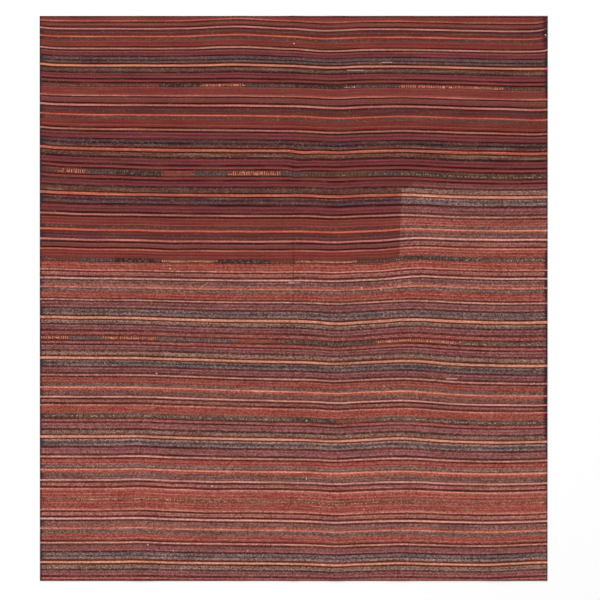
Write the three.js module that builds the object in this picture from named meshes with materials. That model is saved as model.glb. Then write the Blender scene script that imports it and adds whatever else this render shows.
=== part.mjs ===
// A small striped kilim, lying flat on the floor. Millimetres, +Z up, face up.
// +Y runs towards the end that is at the top when it is seen from above, and +X to that view's right.
// The origin is the middle of the cloth, at the level of the floor.
import * as THREE from "three";

// The cloth as it lies: across the stripes' length, along the warp, and through the weave.
const CLOTH_WIDTH = 1524;
const CLOTH_LENGTH = 1694;
const CLOTH_THICKNESS = 2.4;

// The weaver drew the wefts in a little tighter as the work went on, so the lower end is narrower.
const LOWER_END_DRAW_IN = 2;

// The columns of faces are this far apart where the cloth lies flat, and the rows everywhere.
const COLUMN_PITCH = 84;
const ROW_PITCH = 77;

// Across each ridge, columns stand at these shares of its half width, on both sides of its crest.
const RIDGE_COLUMNS = [0, 0.3, 0.62, 1];

// What keeps the cloth from lying dead flat: soft ridges that run along the warp, each with its crest at x.
// The fold was pressed in down the middle for storage. The others are where the wefts pull out of line.
const RIDGES = [
  { name: "left swell", x: -461, halfWidth: 60, upperRise: 0.4, middleRise: 0.6, lowerRise: 1.4 },
  { name: "left ripple", x: -161, halfWidth: 52, upperRise: 1.6, middleRise: 0.8, lowerRise: 0.5 },
  { name: "storage fold", x: 0, halfWidth: 26, upperRise: 2.2, middleRise: 3.6, lowerRise: 1.8 },
  { name: "right pucker", x: 127, halfWidth: 44, upperRise: 1.4, middleRise: 2.0, lowerRise: 2.2 },
  { name: "right ripple", x: 313, halfWidth: 56, upperRise: 1.0, middleRise: 1.7, lowerRise: 1.5 },
  { name: "right swell", x: 604, halfWidth: 64, upperRise: 0.8, middleRise: 1.2, lowerRise: 1.6 },
];

// A ridge's height at a place along the cloth, by a smooth curve through its three heights.
function riseAlong(ridge, y) {
  const share = y / (CLOTH_LENGTH / 2);
  const end = share > 0 ? ridge.upperRise : ridge.lowerRise;
  return THREE.MathUtils.lerp(ridge.middleRise, end, THREE.MathUtils.smoothstep(Math.abs(share), 0, 1));
}

// How far the cloth stands off the floor at a point: the sum of its ridges, each a raised cosine.
function liftAt(x, y) {
  let lift = 0;
  for (const ridge of RIDGES) {
    const away = Math.abs(x - ridge.x) / ridge.halfWidth;
    if (away < 1) lift += (riseAlong(ridge, y) * (1 + Math.cos(Math.PI * away))) / 2;
  }
  return lift;
}

// The places of the columns across the cloth: its two sides, the ridges' own, and even steps between those.
function columnPlaces() {
  const places = [-CLOTH_WIDTH / 2, CLOTH_WIDTH / 2];
  for (const ridge of RIDGES) {
    for (const share of RIDGE_COLUMNS) {
      places.push(ridge.x - share * ridge.halfWidth);
      if (share > 0) places.push(ridge.x + share * ridge.halfWidth);
    }
  }
  places.sort((a, b) => a - b);
  const filled = [places[0]];
  for (const place of places.slice(1)) {
    const start = filled[filled.length - 1];
    const steps = Math.ceil((place - start) / COLUMN_PITCH);
    for (let step = 1; step <= steps; step += 1) {
      filled.push(THREE.MathUtils.lerp(start, place, step / steps));
    }
  }
  return filled;
}

// The cloth's own solid: a thin slab whose columns are moved to their places and whose both faces ride the ridges.
function clothGeometry() {
  const columns = columnPlaces();
  const columnCount = columns.length - 1;
  const rowCount = Math.round(CLOTH_LENGTH / ROW_PITCH);
  const slab = new THREE.BoxGeometry(
    CLOTH_WIDTH, CLOTH_LENGTH, CLOTH_THICKNESS, columnCount, rowCount, 1,
  );
  const points = slab.getAttribute("position");
  for (let i = 0; i < points.count; i += 1) {
    const column = Math.round((points.getX(i) / CLOTH_WIDTH + 0.5) * columnCount);
    const x = columns[column];
    const y = points.getY(i);
    const share = 0.5 - y / CLOTH_LENGTH;
    const narrowing = 1 - (share * LOWER_END_DRAW_IN) / CLOTH_WIDTH;
    const z = points.getZ(i) + CLOTH_THICKNESS / 2 + liftAt(x, y);
    points.setXYZ(i, x * narrowing, y, z);
  }
  slab.computeVertexNormals();
  return slab;
}

function clothMesh() {
  const wool = new THREE.MeshStandardMaterial({ color: 0x82483e, roughness: 0.95, metalness: 0 });
  const cloth = new THREE.Mesh(clothGeometry(), wool);
  cloth.name = "kilim_cloth";
  return cloth;
}

const group = new THREE.Group();
group.add(clothMesh());

export default group;
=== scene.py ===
"""Dresses a small striped kilim that lies flat on the floor.

The cloth is one weft-faced wool weave. Its stripes follow a weft chart written out in millimetres,
from the upper end down: seven runs of one stripe sequence, each turned over or not, parted by six
brocaded rows. Places in the chart are measured at a plumb line near the left side. From there each
weft drifts up or down as the cloth's own wefts do. Everything is built in millimetres from the frame's box
and put into metres at the end.
"""

from __future__ import annotations

import logging
import math
import random
from bisect import bisect_right
from collections.abc import Callable, Sequence
from dataclasses import dataclass, field
from enum import Enum

import bmesh
import bpy
from mathutils import Matrix, Vector, noise

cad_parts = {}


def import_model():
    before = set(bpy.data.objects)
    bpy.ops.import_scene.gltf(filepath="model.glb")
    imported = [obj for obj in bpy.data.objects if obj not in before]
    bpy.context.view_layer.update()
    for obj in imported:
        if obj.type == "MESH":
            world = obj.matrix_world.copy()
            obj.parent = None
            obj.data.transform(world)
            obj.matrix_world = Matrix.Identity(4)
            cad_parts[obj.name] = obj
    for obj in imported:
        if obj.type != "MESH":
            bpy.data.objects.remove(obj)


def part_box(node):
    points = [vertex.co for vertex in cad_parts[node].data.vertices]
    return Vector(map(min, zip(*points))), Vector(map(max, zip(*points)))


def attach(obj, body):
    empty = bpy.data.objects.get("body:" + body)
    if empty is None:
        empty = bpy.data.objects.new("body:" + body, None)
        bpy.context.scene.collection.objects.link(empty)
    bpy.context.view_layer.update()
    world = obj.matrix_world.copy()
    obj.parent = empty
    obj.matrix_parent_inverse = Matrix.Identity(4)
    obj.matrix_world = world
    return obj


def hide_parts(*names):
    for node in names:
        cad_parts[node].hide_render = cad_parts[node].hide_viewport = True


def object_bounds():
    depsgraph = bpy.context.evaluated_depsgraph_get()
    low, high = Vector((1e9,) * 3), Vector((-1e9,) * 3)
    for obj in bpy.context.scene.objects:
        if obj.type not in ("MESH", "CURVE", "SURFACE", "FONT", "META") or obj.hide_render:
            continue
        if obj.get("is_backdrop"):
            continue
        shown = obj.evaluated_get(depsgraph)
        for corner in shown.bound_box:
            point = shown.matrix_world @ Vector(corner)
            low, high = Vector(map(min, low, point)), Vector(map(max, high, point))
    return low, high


LOG = logging.getLogger("kilim")

MM = 0.001
NODE = "kilim_cloth"

Colour = tuple[int, int, int]
Rgb = tuple[float, float, float]
Pair = tuple[float, float]
Socket = bpy.types.NodeSocket
Material = bpy.types.Material
Piece = bpy.types.Object
BMesh = bmesh.types.BMesh

# The four chains of edges round a grid, and the column and row of each of its points.
Rim = list[list[bmesh.types.BMEdge]]
GridPlaces = dict[bmesh.types.BMVert, tuple[int, int]]

# The cloth's three dye attributes, and how much longer than the cloth its chart map is.
DYE_LAYERS = ("fresh_dye", "worn_dye", "second_ply")
CHART_MARGIN = 1.05

# The eye's weight of each linear channel, and how wear that shows pale grows with a yarn's brightness.
BRIGHTNESS = Vector((0.21, 0.72, 0.07))
PALE_GAIN = 8.0
PALE_LIMIT = 1.6


def linear(colour: Colour) -> Rgb:
    """Turns a colour as the eye reads it, 0 to 255, into the scene's linear light.

    Args:
        colour: Red, green and blue, 0 to 255.

    Returns:
        The same colour as three linear numbers from 0 to 1.
    """
    toe, slope, offset, power = 0.04045, 12.92, 0.055, 2.4
    shares = (channel / 255 for channel in colour)
    return tuple(c / slope if c <= toe else ((c + offset) / (1 + offset)) ** power for c in shares)


def blend(a: Rgb, b: Rgb, share: float) -> Rgb:
    """Mixes two linear colours, with share of the second."""
    return tuple(x + (y - x) * share for x, y in zip(a, b, strict=True))


def shade(colour: Rgb, tone: float) -> Rgb:
    """Makes a linear colour lighter or darker by a factor."""
    return tuple(channel * tone for channel in colour)


def lift(colour: Rgb, amount: float) -> Rgb:
    """Makes a linear colour paler, or deeper below 0, by a step that is less for a dark colour."""
    step = amount * min(PALE_LIMIT, PALE_GAIN * Vector(colour).dot(BRIGHTNESS))
    return tuple(max(0.0, channel + step) for channel in colour)


def smooth_step(value: float, start: float, end: float) -> float:
    """Rises smoothly from 0 at start to 1 at end."""
    share = min(max((value - start) / (end - start), 0.0), 1.0)
    return share * share * (3 - 2 * share)


def bell(value: float, centre: float, spread: float) -> float:
    """A soft bump, 1 at its centre."""
    return math.exp(-(((value - centre) / spread) ** 2))


def chart_noise(across: float, along: float, lengths: Pair, layer: float) -> float:
    """Smooth noise over the chart, about -1 to 1, one swing to each length across and along."""
    return noise.noise(Vector((across / lengths[0], along / lengths[1], layer)))


def soft_curve(places: Sequence[float], heights: Sequence[float], at: float) -> float:
    """Reads a smooth curve through a few points.

    Args:
        places: The points' places, rising.
        heights: The curve's value at each place.
        at: Where to read it.

    Returns:
        The value there, by a cubic through its neighbours, or the end value past an end.
    """
    if at <= places[0]:
        return heights[0]
    if at >= places[-1]:
        return heights[-1]
    i = bisect_right(places, at) - 1
    before, after = max(i - 1, 0), min(i + 2, len(places) - 1)
    span = places[i + 1] - places[i]
    t = (at - places[i]) / span
    leave = (heights[i + 1] - heights[before]) / (places[i + 1] - places[before]) * span
    arrive = (heights[after] - heights[i]) / (places[after] - places[i]) * span
    a, b = heights[i], heights[i + 1]
    return (
        a * (1 + 2 * t) * (1 - t) ** 2
        + leave * t * (1 - t) ** 2
        + b * t * t * (3 - 2 * t)
        + arrive * t * t * (t - 1)
    )


class Edge(Enum):
    """What a weft's dye kept of its first colour in the shade of the selvedge."""

    HOT_PINK = (206, 84, 104)
    MAROON = (84, 30, 34)
    INK = (46, 36, 40)


@dataclass(frozen=True)
class Dye:
    """One yarn's colours, and how its thread lies in the cloth.

    Attributes:
        fresh: Its colour where the face is hardly worn.
        worn: Its colour where the face is worn and the warp greys it.
        ply: The colour of the thin second strand that is spun in with it.
        marl: The share of beads that show the second strand.
        grit: How uneven the beads are, as a share of the colour.
        loft: How far the middle of one line of picks stands up, in millimetres.
        edge: Its colour at the selvedges.
        upper: How far it has turned to its worn colour near the upper end.
    """

    fresh: Colour
    worn: Colour
    ply: Colour
    marl: float
    grit: float
    loft: float
    edge: Edge
    upper: float = 0.0


class Yarn(Enum):
    """The yarns of the stripe sequence, named for how each looks in the cloth."""

    RED = Dye((114, 48, 41), (149, 78, 67), (132, 42, 46), 0.20, 0.10, 0.26, Edge.MAROON)
    CORAL = Dye((160, 80, 68), (191, 114, 99), (212, 142, 116), 0.10, 0.10, 0.42, Edge.HOT_PINK)
    SOOT = Dye((62, 6, 8), (92, 38, 31), (46, 24, 30), 0.25, 0.18, 0.30, Edge.INK)
    ROSEWOOD = Dye((114, 56, 48), (154, 95, 84), (108, 52, 58), 0.25, 0.14, 0.26, Edge.MAROON)
    BLUSH = Dye((160, 84, 78), (187, 129, 118), (206, 150, 130), 0.15, 0.10, 0.42, Edge.HOT_PINK, 0.3)
    PLUM = Dye((91, 39, 35), (128, 80, 71), (78, 52, 62), 0.25, 0.20, 0.26, Edge.INK)
    BRICK = Dye((90, 10, 8), (161, 82, 68), (130, 50, 34), 0.20, 0.12, 0.28, Edge.MAROON)
    ORANGE = Dye((176, 76, 62), (190, 113, 97), (214, 136, 96), 0.12, 0.10, 0.42, Edge.HOT_PINK)
    ASH = Dye((100, 43, 34), (120, 81, 72), (88, 72, 74), 0.30, 0.26, 0.26, Edge.INK)
    CREAM = Dye((160, 91, 76), (166, 109, 97), (204, 152, 130), 0.18, 0.12, 0.44, Edge.HOT_PINK, 0.6)
    MAUVE = Dye((113, 52, 52), (130, 82, 78), (106, 56, 68), 0.25, 0.16, 0.28, Edge.MAROON, 0.2)
    MAROON = Dye((98, 34, 36), (124, 68, 68), (78, 38, 46), 0.25, 0.16, 0.28, Edge.MAROON)
    ROSE = Dye((110, 46, 50), (134, 84, 81), (138, 62, 68), 0.22, 0.14, 0.28, Edge.MAROON)
    SLATE = Dye((80, 38, 40), (117, 93, 90), (82, 72, 80), 0.35, 0.34, 0.28, Edge.INK, 0.35)
    NAVY = Dye((52, 14, 20), (92, 64, 62), (56, 48, 60), 0.35, 0.32, 0.28, Edge.INK, 0.1)
    TAUPE = Dye((77, 26, 31), (120, 90, 87), (116, 90, 80), 0.30, 0.32, 0.28, Edge.INK, 0.45)
    UMBER = Dye((64, 4, 0), (97, 39, 19), (56, 30, 22), 0.25, 0.18, 0.30, Edge.INK)
    GOLD = Dye((168, 75, 61), (199, 134, 113), (220, 152, 112), 0.18, 0.10, 0.50, Edge.HOT_PINK, 0.6)
    OLIVE = Dye((74, 31, 29), (129, 89, 81), (128, 98, 82), 0.35, 0.32, 0.28, Edge.MAROON, 0.15)
    MOSS = Dye((54, 6, 12), (82, 44, 40), (62, 46, 38), 0.30, 0.26, 0.30, Edge.INK)
    MADDER = Dye((123, 56, 54), (149, 87, 81), (148, 58, 62), 0.20, 0.12, 0.34, Edge.MAROON)
    END_CORD = Dye((72, 12, 20), (80, 20, 26), (60, 18, 26), 0.20, 0.14, 0.36, Edge.MAROON)


# The stripe sequence, from its red side to its maroon side.
SEQUENCE = (
    Yarn.RED, Yarn.CORAL, Yarn.SOOT, Yarn.ROSEWOOD, Yarn.SOOT, Yarn.BLUSH, Yarn.SOOT, Yarn.PLUM, Yarn.BRICK,
    Yarn.ORANGE, Yarn.ASH, Yarn.RED, Yarn.SOOT, Yarn.CREAM, Yarn.SOOT, Yarn.MAUVE, Yarn.MAROON, Yarn.ROSE,
    Yarn.SOOT, Yarn.SLATE, Yarn.NAVY, Yarn.TAUPE, Yarn.UMBER, Yarn.GOLD, Yarn.UMBER, Yarn.OLIVE, Yarn.MOSS,
    Yarn.ROSE, Yarn.MAROON, Yarn.ROSE, Yarn.SOOT, Yarn.MADDER, Yarn.SOOT,
)


@dataclass(frozen=True)
class Run:
    """One weaving of the stripe sequence.

    Attributes:
        maroon_first: Whether the run starts, from the upper end, on the sequence's maroon side.
        widths: Each stripe's width in millimetres, in the sequence's own order.
    """

    maroon_first: bool
    widths: tuple[float, ...]

    def stripes(self) -> list[tuple[Yarn, float]]:
        """The run's yarns and widths, from the upper end down."""
        listed = list(zip(SEQUENCE, self.widths, strict=True))
        return listed[::-1] if self.maroon_first else listed


RUNS = (
    Run(False, (
        8.4, 4.5, 3.3, 11.4, 4.2, 5.1, 3.0, 11.4, 3.9, 4.8, 10.5, 16.5, 4.2, 5.1, 4.2, 4.5, 3.9, 6.0,
        3.9, 7.5, 4.2, 6.3, 4.5, 6.3, 4.2, 11.1, 4.5, 4.5, 3.3, 6.6, 5.1, 6.3, 4.8,
    )),
    Run(False, (
        23.1, 4.2, 3.6, 14.4, 5.4, 6.0, 3.6, 16.2, 3.9, 5.1, 11.7, 21.3, 5.1, 5.4, 5.1, 6.0, 4.2, 7.5,
        4.2, 6.6, 6.3, 7.8, 5.1, 7.2, 4.2, 10.2, 6.9, 5.7, 3.6, 6.6, 6.0, 6.6, 5.7,
    )),
    Run(True, (
        22.2, 5.1, 5.1, 11.4, 6.6, 6.0, 1.2, 17.7, 4.8, 6.3, 11.4, 23.1, 6.0, 5.7, 6.6, 6.6, 3.9, 7.5,
        7.5, 7.8, 5.7, 5.7, 4.2, 7.5, 4.2, 13.5, 6.0, 6.6, 2.4, 6.3, 6.0, 6.9, 3.6,
    )),
    Run(False, (
        21.3, 4.2, 4.2, 10.2, 6.0, 5.4, 3.6, 14.1, 3.6, 4.8, 10.8, 18.0, 4.2, 4.5, 3.6, 6.3, 4.2, 5.7,
        4.8, 6.6, 4.8, 6.9, 4.8, 6.9, 3.6, 10.2, 4.5, 4.5, 3.3, 5.7, 6.3, 8.4, 5.4,
    )),
    Run(True, (
        21.0, 4.8, 6.0, 8.1, 5.7, 5.4, 1.8, 15.6, 5.7, 5.1, 10.2, 16.8, 5.1, 5.1, 5.4, 6.0, 2.7, 5.4,
        5.1, 6.6, 5.1, 5.1, 3.6, 6.6, 5.1, 10.8, 6.0, 6.3, 2.4, 4.5, 4.8, 6.6, 5.1,
    )),
    Run(True, (
        23.4, 5.4, 6.3, 8.7, 6.0, 6.0, 1.8, 16.8, 6.6, 5.7, 12.6, 15.9, 4.8, 5.7, 6.3, 8.7, 3.0, 5.7,
        6.3, 6.9, 6.6, 6.3, 3.9, 6.6, 4.5, 10.8, 6.3, 6.6, 2.7, 6.6, 4.8, 6.9, 3.9,
    )),
    Run(False, (
        24.0, 5.1, 5.1, 10.5, 5.7, 6.0, 5.4, 14.1, 3.9, 5.4, 13.5, 19.5, 4.8, 5.1, 6.0, 7.2, 3.6, 5.4,
        4.8, 7.8, 5.1, 7.2, 5.7, 6.3, 5.1, 11.4, 4.8, 6.0, 2.7, 5.7, 6.3, 6.3, 5.1,
    )),
)


@dataclass(frozen=True)
class Wrap:
    """How one stretch of a brocaded row looks.

    Attributes:
        ground: The dye of the weft under the wraps.
        strands: The colours that the wraps take in turn.
        bead: The colour of the small bright beads on it.
        beads: The share of turns that carry a bead.
        thickness: A wrap's thickness in millimetres.
        reach: The share of the row's height that the wraps cross.
        mixed: Whether the colours come by chance, as in a marled yarn, and not in turn.
    """

    ground: Dye
    strands: tuple[Colour, ...]
    bead: Colour
    beads: float
    thickness: float
    reach: float
    mixed: bool = False


# The ground weft under every wrap: its dark second strand, how often that shows, and its loft.
GROUND_PLY = (64, 48, 44)
GROUND_MARL = 0.20
GROUND_LOFT = 0.24


def ground(fresh: Colour, worn: Colour, grit: float) -> Dye:
    """The dye of a brocaded row's ground weft."""
    return Dye(fresh, worn, GROUND_PLY, GROUND_MARL, grit, GROUND_LOFT, Edge.INK)


class Stretch(Enum):
    """The kinds of wrapping in the brocaded rows."""

    MUTED = Wrap(ground((106, 48, 42), (142, 84, 70), 0.2), ((130, 68, 56), (94, 46, 42), (118, 78, 68)),
                 (190, 142, 122), 0.14, 1.5, 0.8)
    BRICK = Wrap(ground((122, 58, 48), (142, 80, 62), 0.15), ((158, 80, 62), (122, 60, 50)), (180, 112, 86),
                 0.05, 1.6, 0.85)
    OLIVE = Wrap(ground((86, 48, 40), (120, 84, 68), 0.25), ((110, 80, 68), (76, 52, 46), (120, 84, 70)),
                 (184, 146, 120), 0.12, 1.6, 0.9)
    BLACK = Wrap(ground((76, 42, 38), (104, 76, 66), 0.25),
                 ((18, 14, 16), (22, 18, 20), (70, 50, 46), (126, 92, 80)),
                 (190, 160, 142), 0.10, 2.0, 0.95, mixed=True)
    SLATE = Wrap(ground((78, 46, 46), (114, 86, 80), 0.25), ((110, 88, 90), (62, 50, 56), (108, 82, 74)),
                 (176, 150, 138), 0.10, 1.7, 0.9)
    SALTED = Wrap(ground((84, 52, 46), (118, 86, 72), 0.25), ((44, 32, 32), (134, 100, 88), (98, 72, 62)),
                  (226, 200, 182), 0.24, 1.8, 0.95, mixed=True)
    ORANGE = Wrap(ground((116, 50, 42), (140, 74, 58), 0.15), ((244, 160, 122), (112, 50, 42)),
                  (248, 196, 160), 0.14, 1.8, 0.85)
    GOLD_CHAIN = Wrap(ground((112, 52, 42), (138, 76, 58), 0.15), ((244, 186, 144), (98, 50, 40)),
                      (250, 212, 176), 0.14, 1.9, 0.5)
    GILT = Wrap(ground((104, 64, 50), (130, 80, 62), 0.25), ((132, 88, 68), (100, 62, 52), (122, 76, 62)),
                (232, 188, 152), 0.28, 1.5, 0.85)


@dataclass(frozen=True)
class BrocadeRow:
    """One row of wrapped weft that parts two runs.

    Attributes:
        height: The row's height in millimetres.
        stretches: Each stretch's far end, in millimetres from the left side, and its kind.
    """

    height: float
    stretches: tuple[tuple[float, Stretch], ...]

    def kind_at(self, across: float) -> Stretch:
        """The stretch at a place across the cloth, in millimetres from the left side."""
        return next((kind for end, kind in self.stretches if across < end), self.stretches[-1][1])


# A place past the right side, where each row's last stretch ends.
FAR = 1600.0

BROCADE_ROWS = (
    BrocadeRow(11.1, (
        (66, Stretch.OLIVE), (362, Stretch.MUTED), (486, Stretch.BLACK),
        (612, Stretch.ORANGE), (760, Stretch.SLATE), (912, Stretch.BLACK), (946, Stretch.SALTED),
        (1078, Stretch.SLATE), (1398, Stretch.ORANGE), (FAR, Stretch.OLIVE),
    )),
    BrocadeRow(16.2, (
        (58, Stretch.MUTED), (133, Stretch.ORANGE), (230, Stretch.SLATE), (373, Stretch.BLACK),
        (457, Stretch.BRICK), (562, Stretch.SLATE), (721, Stretch.ORANGE), (800, Stretch.SLATE),
        (1000, Stretch.OLIVE), (1084, Stretch.SLATE), (FAR, Stretch.SALTED),
    )),
    BrocadeRow(13.8, (
        (120, Stretch.MUTED), (225, Stretch.SLATE), (367, Stretch.BLACK), (532, Stretch.GOLD_CHAIN),
        (689, Stretch.BLACK), (769, Stretch.MUTED), (955, Stretch.GOLD_CHAIN), (1069, Stretch.OLIVE),
        (1090, Stretch.SALTED), (1273, Stretch.BLACK), (FAR, Stretch.SALTED),
    )),
    BrocadeRow(10.5, (
        (85, Stretch.ORANGE), (172, Stretch.SLATE), (193, Stretch.SALTED), (349, Stretch.ORANGE),
        (586, Stretch.SLATE), (727, Stretch.BRICK), (1009, Stretch.BLACK), (1264, Stretch.ORANGE),
        (FAR, Stretch.SALTED),
    )),
    BrocadeRow(14.7, (
        (760, Stretch.SALTED), (886, Stretch.BLACK), (1006, Stretch.MUTED), (FAR, Stretch.SALTED),
    )),
    BrocadeRow(9.6, (
        (109, Stretch.MUTED), (232, Stretch.GOLD_CHAIN), (283, Stretch.MUTED), (412, Stretch.GOLD_CHAIN),
        (1171, Stretch.GILT), (1462, Stretch.MUTED), (FAR, Stretch.GOLD_CHAIN),
    )),
)


@dataclass(frozen=True)
class Line:
    """One line of picks: a few wefts of one dye that lie side by side.

    Attributes:
        start: Where it begins, in millimetres from the upper end along the plumb line.
        end: Where it ends.
        dye: Its dye, or None on a brocaded row, where the dye changes across the cloth.
        row: The brocaded row that it belongs to, or None.
        tone: How much lighter or darker this line was dyed.
        pale: How much paler than its neighbours it has worn, from -1 to 1.
        edge_reach: How far its unfaded end shows at the right selvedge, in millimetres.
    """

    start: float
    end: float
    dye: Dye | None
    row: BrocadeRow | None
    tone: float
    pale: float
    edge_reach: float

    def dye_at(self, across: float) -> Dye:
        """The dye at a place across the cloth."""
        return self.dye or self.row.kind_at(across).value.ground


# How deep the unfaded right selvedge shows: each place, in millimetres from the upper end, and its depth.
SELVEDGE = (
    (0, 15), (60, 14), (110, 9), (165, 10), (230, 6), (330, 3.5), (690, 4), (720, 8), (880, 8), (960, 6),
    (1060, 10), (1230, 10), (1270, 5), (1400, 4), (1694, 2.5),
)


@dataclass
class WeftChart:
    """The whole cloth as lines of picks, from the upper end down."""

    length: float
    end_cord: float = 4.0
    line_pitch: float = 4.3
    tone_spread: float = 0.10
    grit_divisor: float = 3.0
    banded_lines: int = 3
    pale_span: Pair = (0.2, 1.0)
    edge_spread: float = 0.3
    seed: int = 11
    lines: list[Line] = field(init=False)
    rows: list[tuple[BrocadeRow, float, float]] = field(init=False)

    def __post_init__(self) -> None:
        """Lays out every line and remembers where the brocaded rows lie."""
        stripes = self._stripes()
        scale = self.length / sum(width for _, width in stripes)
        draw = random.Random(self.seed)
        self.lines, self.rows, at = [], [], 0.0
        for kind, width in stripes:
            end = at + width * scale
            if isinstance(kind, BrocadeRow):
                self.rows.append((kind, at, end))
            count = max(1, round((end - at) / self.line_pitch))
            first = draw.choice((-1, 1)) if count >= self.banded_lines else 0
            height = (end - at) / count
            for i in range(count):
                start = at + (end - at) * i / count
                pale = first * (-1) ** i * draw.uniform(*self.pale_span)
                self.lines.append(self._line(kind, start, height, pale, draw))
            at = end

    def _stripes(self) -> list[tuple[Yarn | BrocadeRow, float]]:
        """Every stripe and brocaded row with its width, from the upper end down."""
        found: list[tuple[Yarn | BrocadeRow, float]] = [(Yarn.END_CORD, self.end_cord)]
        for i, run in enumerate(RUNS):
            found += run.stripes()
            if i < len(BROCADE_ROWS):
                found.append((BROCADE_ROWS[i], BROCADE_ROWS[i].height))
        return found

    def _line(
        self, kind: Yarn | BrocadeRow, start: float, height: float, pale: float, draw: random.Random,
    ) -> Line:
        """One line of picks, with its own small chances of dye and selvedge."""
        row = kind if isinstance(kind, BrocadeRow) else None
        dye = None if row else kind.value
        spread = self.tone_spread + (dye.grit / self.grit_divisor if dye else 0.0)
        tone = 1 + draw.uniform(-spread, spread)
        places, depths = zip(*SELVEDGE, strict=True)
        chance = 1 + draw.uniform(-self.edge_spread, self.edge_spread)
        return Line(start, start + height, dye, row, tone, pale, soft_curve(places, depths, start) * chance)


@dataclass(frozen=True)
class Pull:
    """A place where the wefts lie out of line, as a soft hump or a flat one with steep sides.

    Attributes:
        across: Its middle, in millimetres from the left side.
        along: Its middle, in millimetres from the upper end.
        reach: How far it spreads from there, across and along, in millimetres.
        depth: How far it takes the wefts towards the lower end, in millimetres.
        steepness: 2 for a soft hump, more for a flat one.
    """

    across: float
    along: float
    reach: Pair
    depth: float
    steepness: float = 2.0

    def at(self, across: float, along: float) -> float:
        """How far it takes the weft at a chart place, in millimetres."""
        side = abs(across - self.across) / self.reach[0]
        end = abs(along - self.along) / self.reach[1]
        return self.depth * math.exp(-(side**self.steepness) - end**self.steepness)


# Where the wefts hang slack: the middle and right as a whole, then one sag after another.
SLACK = (
    Pull(960, 1000, (600, 760), 5, steepness=6),
    Pull(1450, 260, (300, 380), 11),
    Pull(900, 350, (230, 130), 4),
    Pull(330, 470, (110, 70), 3),
    Pull(930, 940, (130, 60), 5),
    Pull(760, 1080, (260, 230), 7.5),
    Pull(1000, 1130, (200, 130), 4),
    Pull(1420, 1100, (330, 260), 19),
    Pull(1524, 1080, (100, 120), 6),
    Pull(930, 1530, (260, 180), 4),
    Pull(1380, 1540, (230, 180), 6.5),
)

# Where a wedge of short wefts that was woven in at the right pushes the others up.
WEDGE = (
    Pull(1330, 730, (260, 105), -9, steepness=6),
    Pull(1220, 820, (120, 150), -3),
    Pull(900, 730, (130, 110), -3),
)

# The pucker and the ripples that run along the warp, and what the left side and the upper end do.
PUCKERS = (
    Pull(885, 850, (60, 1400), 4),
    Pull(1105, 950, (95, 600), -6),
    Pull(300, 1450, (60, 300), -3),
    Pull(20, 560, (90, 400), -4.5),
    Pull(0, 390, (30, 200), -4),
    Pull(590, 0, (110, 170), -7),
    Pull(840, 60, (70, 130), 3),
    Pull(790, 430, (35, 45), 3),
)

# Smaller sags and lifts, from the upper end down, with those at the storage fold.
RIPPLES = (
    Pull(0, 90, (26, 110), -4),
    Pull(745, 400, (25, 30), -1.5),
    Pull(790, 400, (40, 30), 2),
    Pull(766, 455, (16, 25), 4),
    Pull(960, 100, (200, 50), 3),
    Pull(1280, 190, (110, 50), -2),
    Pull(1490, 350, (70, 90), 3),
    Pull(480, 445, (220, 70), 3),
    Pull(930, 285, (80, 40), 2),
    Pull(1500, 285, (60, 40), 2.5),
    Pull(1400, 465, (300, 50), 5),
    Pull(390, 690, (60, 70), 2),
    Pull(510, 905, (200, 60), 2.5),
    Pull(990, 905, (170, 60), 2.5),
    Pull(1290, 1110, (150, 80), 2.5),
    Pull(1060, 1270, (60, 60), -2.5),
    Pull(920, 1450, (110, 50), 2.5),
    Pull(510, 1450, (50, 60), 2.5),
    Pull(1075, 1620, (50, 60), -2.5),
    Pull(1500, 1640, (110, 90), -5),
)

PULLS = (*SLACK, *WEDGE, *PUCKERS, *RIPPLES)


@dataclass(frozen=True)
class Ridge:
    """A soft ridge along the warp, as in the solid: its crest's place and its heights, in millimetres."""

    place: float
    half_width: float
    upper_rise: float
    middle_rise: float
    lower_rise: float

    def height(self, x: float, share: float) -> float:
        """How high it stands.

        Args:
            x: Millimetres right of the cloth's middle.
            share: The place along the cloth, from -1 at the lower end to 1 at the upper one.

        Returns:
            Its height there in millimetres.
        """
        away = abs(x - self.place) / self.half_width
        if away >= 1:
            return 0.0
        end = self.upper_rise if share > 0 else self.lower_rise
        crest = self.middle_rise + (end - self.middle_rise) * smooth_step(abs(share), 0, 1)
        return crest * (1 + math.cos(math.pi * away)) / 2


RIDGES = (
    Ridge(-461, 60, 0.4, 0.6, 1.4),
    Ridge(-161, 52, 1.6, 0.8, 0.5),
    Ridge(0, 26, 2.2, 3.6, 1.8),
    Ridge(127, 44, 1.4, 2.0, 2.2),
    Ridge(313, 56, 1.0, 1.7, 1.5),
    Ridge(604, 64, 0.8, 1.2, 1.6),
)

# Where the storage fold is sharp: each place along the cloth, its spread in millimetres and its strength.
# Elsewhere only a trace of it shows.
FOLD_MARKS = ((440, 26, 0.6), (752, 70, 1.0), (1236, 20, 0.45), (1560, 80, 0.35))
FOLD_TRACE = 0.12


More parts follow.
